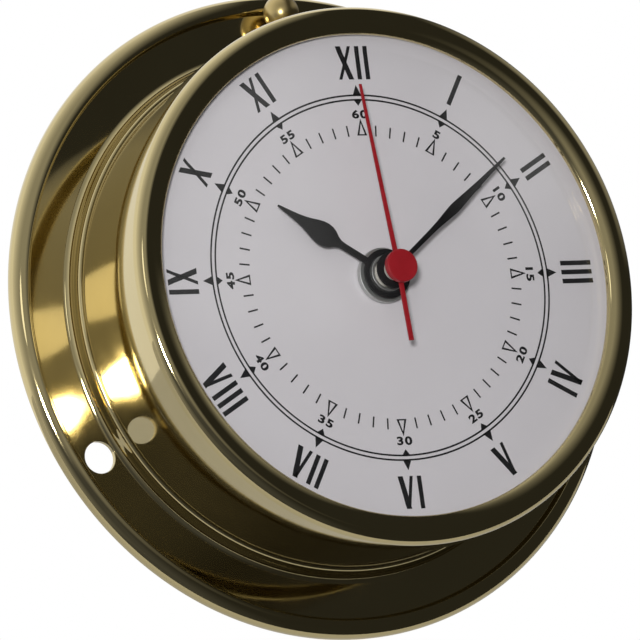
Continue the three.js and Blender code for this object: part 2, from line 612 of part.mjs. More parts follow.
function aaCell() {
  const shoulder = CELL_END - CELL_NUB_LENGTH;
  return revolve([
    [0, CELL_START],
    [CELL_RADIUS - CELL_EDGE_ROUND, CELL_START],
    [CELL_RADIUS, CELL_START + CELL_EDGE_ROUND],
    [CELL_RADIUS, shoulder - CELL_EDGE_ROUND],
    [CELL_RADIUS - CELL_EDGE_ROUND, shoulder],
    [CELL_NUB_RADIUS, shoulder],
    [CELL_NUB_RADIUS, CELL_END],
    [0, CELL_END],
  ], SMALL_SEGMENTS).rotateY(QUARTER).translate(0, CELL_AT_Y, CELL_HEIGHT);
}

function contactPlate(near, far) {
  const half = CONTACT_WIDTH / 2;
  return block(near, far, CELL_AT_Y - half, CELL_AT_Y + half, CELL_HEIGHT - half, CELL_HEIGHT + half);
}

function contactPositive() {
  const far = ROOM_HALF - FIT;
  return contactPlate(far - CONTACT_THICKNESS, far);
}

function contactNegative() {
  const far = FIT - ROOM_HALF;
  const near = far + CONTACT_THICKNESS;
  const bump = revolve([
    [0, far],
    [CONTACT_BUMP_RADIUS, far],
    [CONTACT_BUMP_RADIUS, near],
    [CONTACT_BUMP_RADIUS / 2, near + CONTACT_BUMP_HEIGHT],
    [0, near + CONTACT_BUMP_HEIGHT],
  ], PIVOT_SEGMENTS).rotateY(QUARTER).translate(0, CELL_AT_Y, CELL_HEIGHT);
  return join(contactPlate(far, near), bump);
}

// Gear train

const moduleOf = (spacing, wheel, pinion) => (2 * spacing) / (wheel + pinion);

// Outline of a gear with a tooth centred on toothAt; half widths of a tooth are given in modules.
function gearOutline(teeth, module, toothAt, rootHalf, tipHalf) {
  const pitch = (teeth * module) / 2;
  const root = pitch - DEDENDUM * module;
  const tip = pitch + ADDENDUM * module;
  const rootTurn = (rootHalf * module) / root;
  const tipTurn = (tipHalf * module) / tip;
  const shape = [];
  for (let i = 0; i < teeth; i += 1) {
    const middle = toothAt + (2 * Math.PI * i) / teeth;
    shape.push(polar(root, middle - rootTurn), polar(tip, middle - tipTurn));
    shape.push(polar(tip, middle + tipTurn), polar(root, middle + rootTurn));
  }
  return new THREE.Shape(shape);
}

// A pinion with a leaf on the line to its wheel, and a wheel with a gap there.
function pinion(teeth, module, towards, low, high) {
  return plate(gearOutline(teeth, module, towards, PINION_LEAF_ROOT, PINION_LEAF_TIP), low, high);
}

function wheel(teeth, module, towards, low) {
  const toothAt = towards + Math.PI + Math.PI / teeth;
  const outline = gearOutline(teeth, module, toothAt, WHEEL_TOOTH_ROOT, WHEEL_TOOTH_TIP);
  return plate(outline, low, low + WHEEL_THICKNESS);
}

const arborThrough = (radius) => rod(radius, ARBOR_BOTTOM, ARBOR_TOP, PIVOT_SEGMENTS);

function rotor() {
  const low = ROTOR_LEVEL - PINION_EXTRA;
  const module = moduleOf(ROTOR.spacing, INTERMEDIATE_WHEEL_TEETH, ROTOR_PINION_TEETH);
  const towards = radians(ROTOR_DIRECTION) + Math.PI;
  const leaves = pinion(ROTOR_PINION_TEETH, module, towards, low, low + PINION_THICKNESS);
  return join(arborThrough(ARBOR_RADIUS), leaves);
}

function rotorMagnet() {
  const high = MAGNET_BASE + ROTOR_MAGNET_THICKNESS;
  return tube(ARBOR_RADIUS + FIT, ROTOR_MAGNET_RADIUS, MAGNET_BASE, high, SMALL_SEGMENTS);
}

function intermediateWheel() {
  const low = ROTOR_LEVEL;
  const high = SECONDS_LEVEL;
  const wheelModule = moduleOf(ROTOR.spacing, INTERMEDIATE_WHEEL_TEETH, ROTOR_PINION_TEETH);
  const pinionModule = moduleOf(INTERMEDIATE.spacing, SECONDS_WHEEL_TEETH, INTERMEDIATE_PINION_TEETH);
  const toSeconds = radians(INTERMEDIATE_DIRECTION) + Math.PI;
  return join(
    arborThrough(ARBOR_RADIUS),
    wheel(INTERMEDIATE_WHEEL_TEETH, wheelModule, radians(ROTOR_DIRECTION) + Math.PI, low),
    pinion(INTERMEDIATE_PINION_TEETH, pinionModule, toSeconds, low, high + WHEEL_THICKNESS + PINION_EXTRA),
  );
}

function secondsWheel() {
  const low = SECONDS_LEVEL;
  const high = THIRD_LEVEL;
  const wheelModule = moduleOf(INTERMEDIATE.spacing, SECONDS_WHEEL_TEETH, INTERMEDIATE_PINION_TEETH);
  const pinionModule = moduleOf(THIRD.spacing, THIRD_WHEEL_TEETH, SECONDS_PINION_TEETH);
  const top = DIAL_HEIGHT + SECOND_HAND_HEIGHT + HAND_THICKNESS;
  return join(
    rod(SECONDS_ARBOR_RADIUS, ARBOR_BOTTOM, top, PIVOT_SEGMENTS),
    wheel(SECONDS_WHEEL_TEETH, wheelModule, radians(INTERMEDIATE_DIRECTION) + Math.PI, low),
    pinion(SECONDS_PINION_TEETH, pinionModule, radians(THIRD_DIRECTION), low, high + WHEEL_THICKNESS),
  );
}

function thirdWheel() {
  const low = THIRD_LEVEL;
  const high = CENTRE_LEVEL;
  const wheelModule = moduleOf(THIRD.spacing, THIRD_WHEEL_TEETH, SECONDS_PINION_TEETH);
  const pinionModule = moduleOf(THIRD.spacing, CENTRE_WHEEL_TEETH, THIRD_PINION_TEETH);
  const toCentre = radians(THIRD_DIRECTION) + Math.PI;
  return join(
    arborThrough(ARBOR_RADIUS),
    wheel(THIRD_WHEEL_TEETH, wheelModule, radians(THIRD_DIRECTION), low),
    pinion(THIRD_PINION_TEETH, pinionModule, toCentre, low, high + WHEEL_THICKNESS + PINION_EXTRA),
  );
}

function centreWheel() {
  const low = CENTRE_LEVEL;
  const high = SETTING_LEVEL;
  const wheelModule = moduleOf(THIRD.spacing, CENTRE_WHEEL_TEETH, THIRD_PINION_TEETH);
  const cannonModule = moduleOf(SETTING.spacing, SETTING_WHEEL_TEETH, CANNON_PINION_TEETH);
  const top = DIAL_HEIGHT + MINUTE_HAND_HEIGHT + HAND_THICKNESS;
  const body = join(
    rod(MINUTE_TUBE_RADIUS, low, top, SMALL_SEGMENTS),
    wheel(CENTRE_WHEEL_TEETH, wheelModule, radians(THIRD_DIRECTION) + Math.PI, low),
    pinion(CANNON_PINION_TEETH, cannonModule, radians(SETTING_DIRECTION), low, high + WHEEL_THICKNESS),
  );
  return cut(body, rod(MINUTE_BORE, low - CUT_OVERRUN, top + CUT_OVERRUN, PIVOT_SEGMENTS));
}

function settingWheel() {
  const low = SETTING_LEVEL;
  const high = HOUR_LEVEL;
  const wheelModule = moduleOf(SETTING.spacing, SETTING_WHEEL_TEETH, CANNON_PINION_TEETH);
  const pinionModule = moduleOf(SETTING.spacing, HOUR_WHEEL_TEETH, SETTING_PINION_TEETH);
  const toCentre = radians(SETTING_DIRECTION) + Math.PI;
  return join(
    rod(SETTING_ARBOR_RADIUS, KNOB_LOW + KNOB_BACK_WALL + FIT, ARBOR_TOP, PIVOT_SEGMENTS),
    wheel(SETTING_WHEEL_TEETH, wheelModule, radians(SETTING_DIRECTION), low),
    pinion(SETTING_PINION_TEETH, pinionModule, toCentre, low, high + WHEEL_THICKNESS + PINION_EXTRA / 2),
  );
}

function hourWheel() {
  const low = HOUR_LEVEL;
  const top = DIAL_HEIGHT + HOUR_HAND_HEIGHT + HAND_THICKNESS;
  const module = moduleOf(SETTING.spacing, HOUR_WHEEL_TEETH, SETTING_PINION_TEETH);
  const body = join(
    rod(HOUR_TUBE_RADIUS, low, top, SMALL_SEGMENTS),
    wheel(HOUR_WHEEL_TEETH, module, radians(SETTING_DIRECTION) + Math.PI, low),
  );
  return cut(body, rod(HOUR_BORE, low - CUT_OVERRUN, top + CUT_OVERRUN, SMALL_SEGMENTS));
}

function settingKnob() {
  const points = Array.from({ length: 2 * KNOB_FLUTES }, (_, i) =>
    polar(KNOB_RADIUS - (i % 2) * KNOB_FLUTE_DEPTH, (Math.PI * i) / KNOB_FLUTES));
  const body = plate(new THREE.Shape(points), KNOB_LOW, KNOB_TOP);
  const floor = KNOB_LOW + KNOB_BACK_WALL;
  return cut(body, rod(SETTING_ARBOR_RADIUS + FIT, floor, KNOB_TOP + CUT_OVERRUN, PIVOT_SEGMENTS));
}

// Stepping motor and board

function stator() {
  const high = STATOR_BASE + STATOR_THICKNESS;
  const inner = STATOR_BOTTOM + STATOR_ARM_WIDTH;
  const yoke = outlineOf([
    [STATOR_LEFT, STATOR_BOTTOM],
    [STATOR_RIGHT, STATOR_BOTTOM],
    [STATOR_RIGHT, STATOR_TOP],
    [STATOR_RIGHT - STATOR_ARM_WIDTH, STATOR_TOP],
    [STATOR_RIGHT - STATOR_ARM_WIDTH, inner],
    [STATOR_LEFT + STATOR_ARM_WIDTH, inner],
    [STATOR_LEFT + STATOR_ARM_WIDTH, STATOR_TOP],
    [STATOR_LEFT, STATOR_TOP],
  ]);
  const eye = rod(STATOR_EYE_RADIUS, STATOR_BASE, high, SMALL_SEGMENTS).translate(ROTOR.at.x, ROTOR.at.y, 0);
  const gap = ROTOR_MAGNET_RADIUS + ROTOR_AIR_GAP;
  const hole = rod(gap, STATOR_BASE - CUT_OVERRUN, high + CUT_OVERRUN, SMALL_SEGMENTS)
    .translate(ROTOR.at.x, ROTOR.at.y, 0);
  return cut(join(plate(yoke, STATOR_BASE, high), eye), hole);
}

const BOBBIN_LEFT = STATOR_LEFT + STATOR_ARM_WIDTH + FIT;
const BOBBIN_RIGHT = STATOR_RIGHT - STATOR_ARM_WIDTH - FIT;

// A bar along x about the coil's axis, of a given width and depth.
function coilBar(left, right, width, depth) {
  const [w, d] = [width / 2, depth / 2];
  return block(left, right, CORE_Y - w, CORE_Y + w, CORE_MIDDLE - d, CORE_MIDDLE + d);
}

const coilCore = () => coilBar(STATOR_LEFT, STATOR_RIGHT, CORE_WIDTH, CORE_THICKNESS);

const BOBBIN_BORE = [CORE_WIDTH + 2 * FIT, CORE_THICKNESS + 2 * FIT];
const BOBBIN_BARREL = BOBBIN_BORE.map((size) => size + 2 * BOBBIN_WALL);

function coilBobbin() {
  const flange = [BOBBIN_FLANGE_WIDTH, BOBBIN_FLANGE_DEPTH];
  const body = join(
    coilBar(BOBBIN_LEFT, BOBBIN_RIGHT, ...BOBBIN_BARREL),
    coilBar(BOBBIN_LEFT, BOBBIN_LEFT + BOBBIN_FLANGE_THICKNESS, ...flange),
    coilBar(BOBBIN_RIGHT - BOBBIN_FLANGE_THICKNESS, BOBBIN_RIGHT, ...flange),
  );
  return cut(body, coilBar(BOBBIN_LEFT - CUT_OVERRUN, BOBBIN_RIGHT + CUT_OVERRUN, ...BOBBIN_BORE));
}

function coilWinding() {
  const left = BOBBIN_LEFT + BOBBIN_FLANGE_THICKNESS + FIT;
  const right = BOBBIN_RIGHT - BOBBIN_FLANGE_THICKNESS - FIT;
  const room = BOBBIN_BARREL.map((size) => size + 2 * FIT);
  const outside = [BOBBIN_FLANGE_WIDTH, BOBBIN_FLANGE_DEPTH].map((size) => size - 2 * WINDING_INSET);
  return cut(
    coilBar(left, right, ...outside),
    coilBar(left - CUT_OVERRUN, right + CUT_OVERRUN, ...room),
  );
}

const BOARD_LOW = COVER_TOP + FIT;
const BOARD_HIGH = BOARD_LOW + BOARD_THICKNESS;
const BOARD_RIGHT = ROOM_HALF - BOARD_GAP;

function circuitBoard() {
  const left = BOARD_RIGHT - BOARD_WIDTH;
  return block(left, BOARD_RIGHT, STATOR_TOP - BOARD_LENGTH, STATOR_TOP, BOARD_LOW, BOARD_HIGH);
}

function crystalCan() {
  const x = BOARD_RIGHT - BOARD_WIDTH / 2;
  const y = STATOR_TOP - BOARD_LENGTH / 2;
  const half = CRYSTAL_LENGTH / 2;
  return rod(CRYSTAL_RADIUS, -half, half, PIVOT_SEGMENTS)
    .rotateY(QUARTER)
    .translate(x, y, BOARD_HIGH + FIT + CRYSTAL_RADIUS);
}

// Assembly

const clock = new THREE.Group();

function add(name, geometry, material, at = new THREE.Vector2()) {
  const mesh = new THREE.Mesh(closed(geometry), material);
  mesh.name = name;
  mesh.position.set(at.x, at.y, 0);
  clock.add(mesh);
  return mesh;
}

add('mounting_flange', mountingFlange(), BRASS);
add('case_drum', caseDrum(), BRASS);
add('bezel', bezel(), BRASS);
add('glass', glass(), GLASS);
add('glass_retaining_ring', glassRetainingRing(), BRASS);
add('dial', dial(), DIAL_WHITE);
add('dial_nut', dialNut(), STEEL);
add('dial_washer', dialWasher(), RUBBER);

const lock = add('lock_screw', lockScrew(), BRASS);
lock.rotation.set(-QUARTER, 0, clockwise(LOCK_ANGLE), 'ZXY');
lock.position.z = LOCK_HEIGHT;

add('hour_hand', hourHand(), HAND_BLACK).rotation.z = clockwise(HOUR_HAND_ANGLE);
add('hour_hand_bush', hourHandBush(), STEEL);
add('minute_hand', minuteHand(), HAND_BLACK).rotation.z = clockwise(MINUTE_HAND_ANGLE);
add('second_hand', secondHand(), HAND_RED).rotation.z = clockwise(SECOND_HAND_ANGLE);
add('second_hand_cap', secondHandCap(), HAND_RED);

add('movement_front_shell', movementFrontShell(), HOUSING_BLACK);
add('movement_rear_cover', movementRearCover(), HOUSING_BLACK);
add('aa_cell', aaCell(), CELL_GREY);
add('contact_positive', contactPositive(), STEEL);
add('contact_negative', contactNegative(), STEEL);

add('rotor', rotor(), GEAR_WHITE, ROTOR.at);
add('rotor_magnet', rotorMagnet(), STEEL, ROTOR.at);
add('intermediate_wheel', intermediateWheel(), GEAR_WHITE, INTERMEDIATE.at);
add('seconds_wheel', secondsWheel(), GEAR_WHITE);
add('third_wheel', thirdWheel(), GEAR_WHITE, THIRD.at);
add('centre_wheel', centreWheel(), GEAR_WHITE);
add('setting_wheel', settingWheel(), GEAR_WHITE, SETTING.at);
add('hour_wheel', hourWheel(), GEAR_WHITE);
add('setting_knob', settingKnob(), HOUSING_BLACK, SETTING.at);

add('stator', stator(), STEEL);
add('coil_core', coilCore(), STEEL);
add('coil_bobbin', coilBobbin(), GEAR_WHITE);
add('coil_winding', coilWinding(), COPPER);
add('circuit_board', circuitBoard(), BOARD_GREEN);
add('crystal_can', crystalCan(), STEEL);

clock.rotation.x = QUARTER;

const part = new THREE.Group();
part.add(clock);

export default part;
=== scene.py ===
"""Looks for the ships clock: turned brass, domed glass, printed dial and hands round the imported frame."""

import json
import math

import bmesh
import bpy
from mathutils import Matrix, Vector


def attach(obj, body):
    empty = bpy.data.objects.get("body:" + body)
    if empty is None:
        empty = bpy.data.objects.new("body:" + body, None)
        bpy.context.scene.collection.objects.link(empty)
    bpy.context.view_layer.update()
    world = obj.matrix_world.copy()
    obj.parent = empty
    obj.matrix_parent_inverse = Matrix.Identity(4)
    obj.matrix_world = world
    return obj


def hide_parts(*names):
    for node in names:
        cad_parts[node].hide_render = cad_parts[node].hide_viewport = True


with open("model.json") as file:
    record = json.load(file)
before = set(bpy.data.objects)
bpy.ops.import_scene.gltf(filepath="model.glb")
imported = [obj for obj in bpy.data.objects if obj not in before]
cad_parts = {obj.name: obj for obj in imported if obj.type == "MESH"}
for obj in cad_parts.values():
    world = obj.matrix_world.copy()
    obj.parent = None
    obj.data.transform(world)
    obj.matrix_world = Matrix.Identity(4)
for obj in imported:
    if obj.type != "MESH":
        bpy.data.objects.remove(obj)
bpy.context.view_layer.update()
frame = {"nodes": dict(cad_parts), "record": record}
scene = bpy.context.scene

# Sizes in mm, with heights counted from the wall along the clock's axis and angles in degrees
FIT = 0.3
SNUG = 0.04

# Dial plate, its nut and the ring under the glass
DIAL = 29.7
DIAL_RADIUS = 49.6
DIAL_THICKNESS = 1.0
DIAL_HOLE = 4.3
DIAL_EASE = 0.08
NUT_BORE = 4.3
NUT_RADIUS = 5.2
NUT_TOP = DIAL + 1.5
NUT_EASE = 0.15
RING_BORE = 47.3
RING_TOP = DIAL + 0.9
RING_EASE = 0.12

# Drum and collar
DRUM_RADIUS = 49.6
DRUM_WALL = 2.0
DRUM_BACK = 1.3
DRUM_TOP = DIAL - DIAL_THICKNESS - FIT
DRUM_EASE = 0.2
COLLAR_BORE = 49.9
COLLAR_MOUTH = 50.0
COLLAR_STEP = 50.75
COLLAR_FOOT = 52.2
COLLAR_TOP = 5.8
COLLAR_ROUND = 1.9
COVE = 1.9

# Flange with its lip and screw holes
FLANGE_RADIUS = 62.5
FLANGE_FACE = 2.0
FLANGE_BACK_ROUND = 0.5
FLANGE_EASE = 0.06
LEDGE = 1.0
LEDGE_RADIUS = 47.1
LIP_FOOT = 58.75
LIP_INNER = 59.1
LIP_SHOULDER = 59.6
LIP_WALL = 1.0
LIP_TOP = 3.3
LIP_ROUND = 0.3
HOLE_COUNT = 3
HOLE_RADIUS = 3.05
HOLE_RIM = 0.1
HOLE_RING = 55.15
HOLE_ANGLE = 241.7
HOLE_BACK_RADIUS = 3.9
HOLE_BACK_DEPTH = 1.0
CUTTER_REACH = 1.0

# Lock screw and its boss
LOCK_HEIGHT = 7.1
LOCK_TURN = 1.35
LOCK_SHANK = 1.0
LOCK_NECK = 1.8
LOCK_BALL = 3.4
LOCK_BALL_AT = 57.7
LOCK_BALL_START = -58
BOSS_RADIUS = 2.6
BOSS_START = 50.2
BOSS_END = 53.8
BOSS_EASE = 0.25
BOSS_BORE = 1.3
BOSS_BORE_START = 48.0
BOSS_BORE_END = 55.5

# Bezel and glass
BEZEL_BORE = 49.9
BEZEL_BACK = DIAL - 6.2
BEZEL_BACK_FLAT = 50.9
BEZEL_BACK_RADIUS = 51.05
BEZEL_BACK_CHAMFER = 0.2
BEZEL_CRISP = 0.05
BEZEL_CROWN = 49.3
BEZEL_RADIUS = 51.4
BEZEL_TOP = DIAL + 4.2
BEZEL_ROUND = 2.0
BEZEL_FALL = 1.0
BEZEL_LIP = 46.0
BEZEL_EASE = 0.2
GLASS_SEAT = 32.2
GLASS_RADIUS = 45.6
GLASS_EDGE = 1.0
GLASS_INNER = 44.1
GLASS_INNER_TOP = 42.4
GLASS_TOP = GLASS_INNER_TOP + 1.5

# Hands, with falls from hub to tip
HAND_THICKNESS = 0.4
HAND_EASE = 0.07
HOUR_ANGLE = 303.0
HOUR_LOW = DIAL + 2.1
HOUR_HUB = 4.7
HOUR_HOLE = 3.75
HOUR_NECK = 0.65
BUSH_BORE = 2.95
BUSH_RADIUS = 3.45
BUSH_HEIGHT = 0.9
BUSH_EASE = 0.1
MINUTE_ANGLE = 51.75
MINUTE_LOW = DIAL + 4.8
MINUTE_HUB = 3.45
MINUTE_HOLE = 2.05
MINUTE_NECK = 0.45
MINUTE_TIP = 34.2
MINUTE_FALL = 1.2
SECOND_ANGLE = 357.3
SECOND_LOW = DIAL + 6.7
SECOND_HUB = 2.2
SECOND_HOLE = 1.05
SECOND_NECK = 0.45
SECOND_TAIL = 13.8
SECOND_TIP = 35.4
SECOND_TIP_HALF = 0.25
SECOND_FALL = 2.0
CAP_LOW = 37.1
CAP_RADIUS = 3.1
CAP_HEIGHT = 1.4
CAP_EASE = 0.3

# Printing, with all but the first two values in units of the scale's radius
SCALE_RADIUS = 34.5
PRINT_HEIGHT = DIAL + 0.03
TRACK_OUTER = 1.005
TRACK_INNER = 0.98
TRACK_LINE = 0.0095
MARK_HALF = 0.026
MARK_OUTWARD = (1.003, 1.062)
MARK_INWARD = (0.982, 0.946)
TRIANGLE_BASE = 0.782
TRIANGLE_APEX = 0.876
TRIANGLE_HALF = 0.03
TRIANGLE_LINE = 0.0075
TRIANGLE_SIDE_LINES = 1.9
TRIANGLE_TIP_LINES = 3.4
TICK_LOW = 0.78
TICK_LENGTH = 0.06
TICK_WIDTH = 0.009
NUMERAL_LOW = 1.092
NUMERAL_HEIGHT = 0.176
NUMERAL_BAR = 0.026
NUMERAL_THICK = 0.031
NUMERAL_THIN = 0.019
LETTER = 0.089
LETTER_GAP = 0.024
LETTER_LEFT = 0.014
LETTER_RIGHT = 0.009
LETTER_LEAN = 0.004
UPSIDE_DOWN = range(4, 9)

# Minute numbers, in mm but for their ring
NUMBER_RING = 0.90
NUMBER_HEIGHT = 1.5
NUMBER_MIDDLE = 0.725
NUMBER_STRETCH = 1.4
NUMBER_WEIGHT = 0.085
NUMBER_SPACING = 1.18
TYPE_HEIGHT = 0.72

# How finely meshes are made
RIM_SEGMENTS = 240
DIAL_SEGMENTS = 200
GLASS_SEGMENTS = 160
BOSS_SEGMENTS = 48
BORE_SEGMENTS = 32
SMALL_SEGMENTS = 64
TRACK_SEGMENTS = 180
DOME_STEPS = 24
EASE_STEPS = 5
EASE_SHARE = 0.4
EASE_GUARD = 1.2
NEARLY_STRAIGHT = math.radians(150)
SHARP_EDGE = math.radians(35)

CLOCK = Matrix.Rotation(math.radians(90), 4, "X")
MM = Matrix.Scale(0.001, 4)


# Materials, with their relief in metres

def new_material(name, metallic=0.0):
    made = bpy.data.materials.new(name)
    made.use_nodes = True
    tree = made.node_tree
    shader = tree.nodes["Principled BSDF"]
    shader.inputs["Metallic"].default_value = metallic
    return made, tree, shader


def noise(tree, vector, scale, detail=3.0):
    node = tree.nodes.new("ShaderNodeTexNoise")
    node.inputs["Scale"].default_value = scale
    node.inputs["Detail"].default_value = detail
    tree.links.new(vector, node.inputs["Vector"])
    return node.outputs["Fac"]


def spread(tree, value, low, high, start=0.3, end=0.7):
    """Go from low to high while a value goes from start to end."""
    node = tree.nodes.new("ShaderNodeMapRange")
    node.inputs["From Min"].default_value = start
    node.inputs["From Max"].default_value = end
    node.inputs["To Min"].default_value = low
    node.inputs["To Max"].default_value = high
    tree.links.new(value, node.inputs["Value"])
    return node.outputs["Result"]


def blend_colours(tree, value, first, second):
    """Go from one colour to another, each given as numbers or as a node's output."""
    node = tree.nodes.new("ShaderNodeMix")
    node.data_type = "RGBA"
    for socket, colour in ((node.inputs[6], first), (node.inputs[7], second)):
        if isinstance(colour, tuple):
            socket.default_value = (*colour, 1)
        else:
            tree.links.new(colour, socket)
    tree.links.new(value, node.inputs[0])
    return node.outputs[2]


def times(tree, first, second):
    node = tree.nodes.new("ShaderNodeMath")
    node.operation = "MULTIPLY"
    tree.links.new(first, node.inputs[0])
    tree.links.new(second, node.inputs[1])
    return node.outputs[0]


def bump(tree, height, distance):
    node = tree.nodes.new("ShaderNodeBump")
    node.inputs["Distance"].default_value = distance
    tree.links.new(height, node.inputs["Height"])
    return node.outputs["Normal"]


def mottled(name, first, second, rough, scale, metallic=0.0, relief=0.0, relief_scale=4000, shine=0.5):
    """A surface whose colour and gloss vary a little, with a fine relief."""
    made, tree, shader = new_material(name, metallic)
    shader.inputs["Specular IOR Level"].default_value = shine
    place = tree.nodes.new("ShaderNodeTexCoord").outputs["Object"]
    tone = blend_colours(tree, spread(tree, noise(tree, place, scale), 0, 1), first, second)
    tree.links.new(tone, shader.inputs["Base Color"])
    gloss = spread(tree, noise(tree, place, scale * 3), *rough)
    tree.links.new(gloss, shader.inputs["Roughness"])
    if relief:
        grain = bump(tree, noise(tree, place, relief_scale), relief)
        tree.links.new(grain, shader.inputs["Normal"])
    return made


def turned_metal(name, first, second, rough, wave, lacquer=0.0):
    """Polished metal off a lathe with a slow waviness and, on brass, a clear lacquer."""
    made, tree, shader = new_material(name, metallic=1.0)
    place = tree.nodes.new("ShaderNodeTexCoord").outputs["Object"]
    tone = blend_colours(tree, spread(tree, noise(tree, place, scale=55, detail=4), 0, 1), first, second)
    tree.links.new(tone, shader.inputs["Base Color"])
    smudge = spread(tree, noise(tree, place, scale=130, detail=2), *rough)
    tree.links.new(smudge, shader.inputs["Roughness"])
    slow = bump(tree, noise(tree, place, scale=60, detail=1), wave)
    tree.links.new(slow, shader.inputs["Normal"])
    tree.links.new(slow, shader.inputs["Coat Normal"])
    shader.inputs["Coat Weight"].default_value = lacquer
    shader.inputs["Coat Roughness"].default_value = 0.03
    return made


def clear_glass(name, first, second):
    """Clear glass that lets light through to the dial without dark shadows."""
    made, tree, shader = new_material(name)
    place = tree.nodes.new("ShaderNodeTexCoord").outputs["Object"]
    tint = blend_colours(tree, noise(tree, place, scale=30), first, second)
    tree.links.new(tint, shader.inputs["Base Color"])
    shader.inputs["Roughness"].default_value = 0.0
    shader.inputs["IOR"].default_value = 1.5
    shader.inputs["Transmission Weight"].default_value = 1.0
    path = tree.nodes.new("ShaderNodeLightPath")
    through = tree.nodes.new("ShaderNodeBsdfTransparent")
    mix = tree.nodes.new("ShaderNodeMixShader")
    tree.links.new(path.outputs["Is Shadow Ray"], mix.inputs[0])
    tree.links.new(shader.outputs[0], mix.inputs[1])
    tree.links.new(through.outputs[0], mix.inputs[2])
    tree.links.new(mix.outputs[0], tree.nodes["Material Output"].inputs["Surface"])
    return made


BRASS = turned_metal(
    "polished_brass", (0.60, 0.50, 0.255), (0.56, 0.465, 0.235),
    rough=(0.05, 0.09), wave=0.00003, lacquer=0.45,
)
SATIN_BRASS = turned_metal(
    "satin_brass", (0.54, 0.42, 0.18), (0.50, 0.38, 0.16),
    rough=(0.24, 0.34), wave=0.00005, lacquer=0.3,
)
GLASS = clear_glass("clear_glass", (0.985, 0.992, 0.99), (1, 1, 1))
DIAL_WHITE = mottled(
    "white_dial", (0.82, 0.785, 0.815), (0.84, 0.805, 0.835),
    rough=(0.45, 0.6), scale=90, relief=0.00001,
)
INK = mottled(
    "black_ink", (0.012, 0.012, 0.014), (0.022, 0.021, 0.022),
    rough=(0.5, 0.65), scale=300, shine=0.1,
)
NICKEL = turned_metal(
    "nickel", (0.58, 0.59, 0.57), (0.50, 0.51, 0.50),
    rough=(0.42, 0.55), wave=0.00002,
)
HAND_BLACK = mottled(
    "black_hand", (0.006, 0.006, 0.007), (0.012, 0.011, 0.012),
    rough=(0.4, 0.55), scale=400, relief=0.00001, shine=0.15,
)
HAND_RED = mottled(
    "red_hand", (0.43, 0.011, 0.020), (0.37, 0.008, 0.015),
    rough=(0.35, 0.5), scale=400, relief=0.00001, shine=0.25,
)
RUBBER = mottled(
    "black_rubber", (0.016, 0.016, 0.017), (0.03, 0.03, 0.03),
    rough=(0.75, 0.95), scale=500, relief=0.00003,
)
HOUSING = mottled(
    "black_plastic", (0.02, 0.02, 0.022), (0.032, 0.032, 0.034),
    rough=(0.42, 0.6), scale=300, relief=0.00003,
)
GEAR_WHITE = mottled(
    "white_plastic", (0.78, 0.75, 0.68), (0.70, 0.67, 0.60),
    rough=(0.35, 0.5), scale=250, relief=0.00001,
)
CELL = mottled(
    "cell_jacket", (0.16, 0.17, 0.19), (0.12, 0.13, 0.15),
    rough=(0.25, 0.4), scale=120, metallic=0.4, relief=0.00001,
)
MAGNET = mottled(
    "magnet", (0.09, 0.09, 0.095), (0.06, 0.06, 0.065),
    rough=(0.4, 0.6), scale=700, metallic=0.8, relief=0.00002,
)
COPPER = mottled(
    "copper_wire", (0.52, 0.22, 0.09), (0.42, 0.16, 0.06),
    rough=(0.25, 0.4), scale=500, metallic=1.0, relief=0.00003, relief_scale=9000,
)
BOARD = mottled(
    "green_board", (0.03, 0.13, 0.06), (0.02, 0.10, 0.045),
    rough=(0.35, 0.5), scale=200, relief=0.00002,
)
SLOTS = {
    "polished_brass": BRASS,
    "clear_glass": GLASS,
    "white_dial": DIAL_WHITE,
    "nickel": NICKEL,
    "black_rubber": RUBBER,
    "black_hand": HAND_BLACK,
    "red_hand": HAND_RED,
    "black_plastic": HOUSING,
    "white_plastic": GEAR_WHITE,
    "cell_jacket": CELL,
    "magnet": MAGNET,
    "copper_wire": COPPER,
    "green_board": BOARD,
}
for part in frame["record"]["subparts"]:
    slots = frame["nodes"][part["node"]].data.materials
    slots.clear()
    slots.append(SLOTS[part["material_slot"]])


# Mesh helpers: everything is drawn in mm with the clock's axis along local Z

def placed(name, data):
    made = bpy.data.objects.new(name, data)
    scene.collection.objects.link(made)
    return made


def final_mesh(holder):
    """What an object comes to after its modifiers or its curve's settings."""
    bpy.context.view_layer.update()
    return bpy.data.meshes.new_from_object(holder.evaluated_get(bpy.context.evaluated_depsgraph_get()))


def curve_mesh(name, curve):
    holder = placed(name, curve)
    mesh = final_mesh(holder)
    bpy.data.objects.remove(holder)
    return mesh


def mark_edges(build):
    """Smooth faces, with crisp edges where they meet steeply."""
    for face in build.faces:
        face.smooth = True
    for edge in build.edges:
        edge.smooth = len(edge.link_faces) == 2 and edge.calc_face_angle() < SHARP_EDGE


def frame_mesh(name, build, turn=CLOCK):
    """Take a bmesh from its own mm to a mesh in the frame's metres."""
    mesh = bpy.data.meshes.new(name)
    build.to_mesh(mesh)
    build.free()
    mesh.transform(turn)
    mesh.transform(MM)
    return mesh


def finish_mesh(name, build, material, body, replaces=None, turn=CLOCK):
    """Turn a bmesh into a piece of the clock."""
    bmesh.ops.recalc_face_normals(build, faces=build.faces)
    mark_edges(build)
    mesh = frame_mesh(name, build, turn)
    mesh.materials.append(material)
    piece = placed(name, mesh)
    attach(piece, body)
    if replaces:
        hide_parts(replaces)
    return piece


def arc(x, y, width, height, start, end, steps):
    """Points on an ellipse, from one angle to another."""
    turns = [math.radians(start + (end - start) * i / steps) for i in range(steps + 1)]
    return [(x + width * math.cos(t), y + height * math.sin(t)) for t in turns]


def section(inner, outer, low, high):
    """The rectangle that turns into a tube, a ring or a disc."""
    return [(inner, low), (outer, low), (outer, high), (inner, high)]


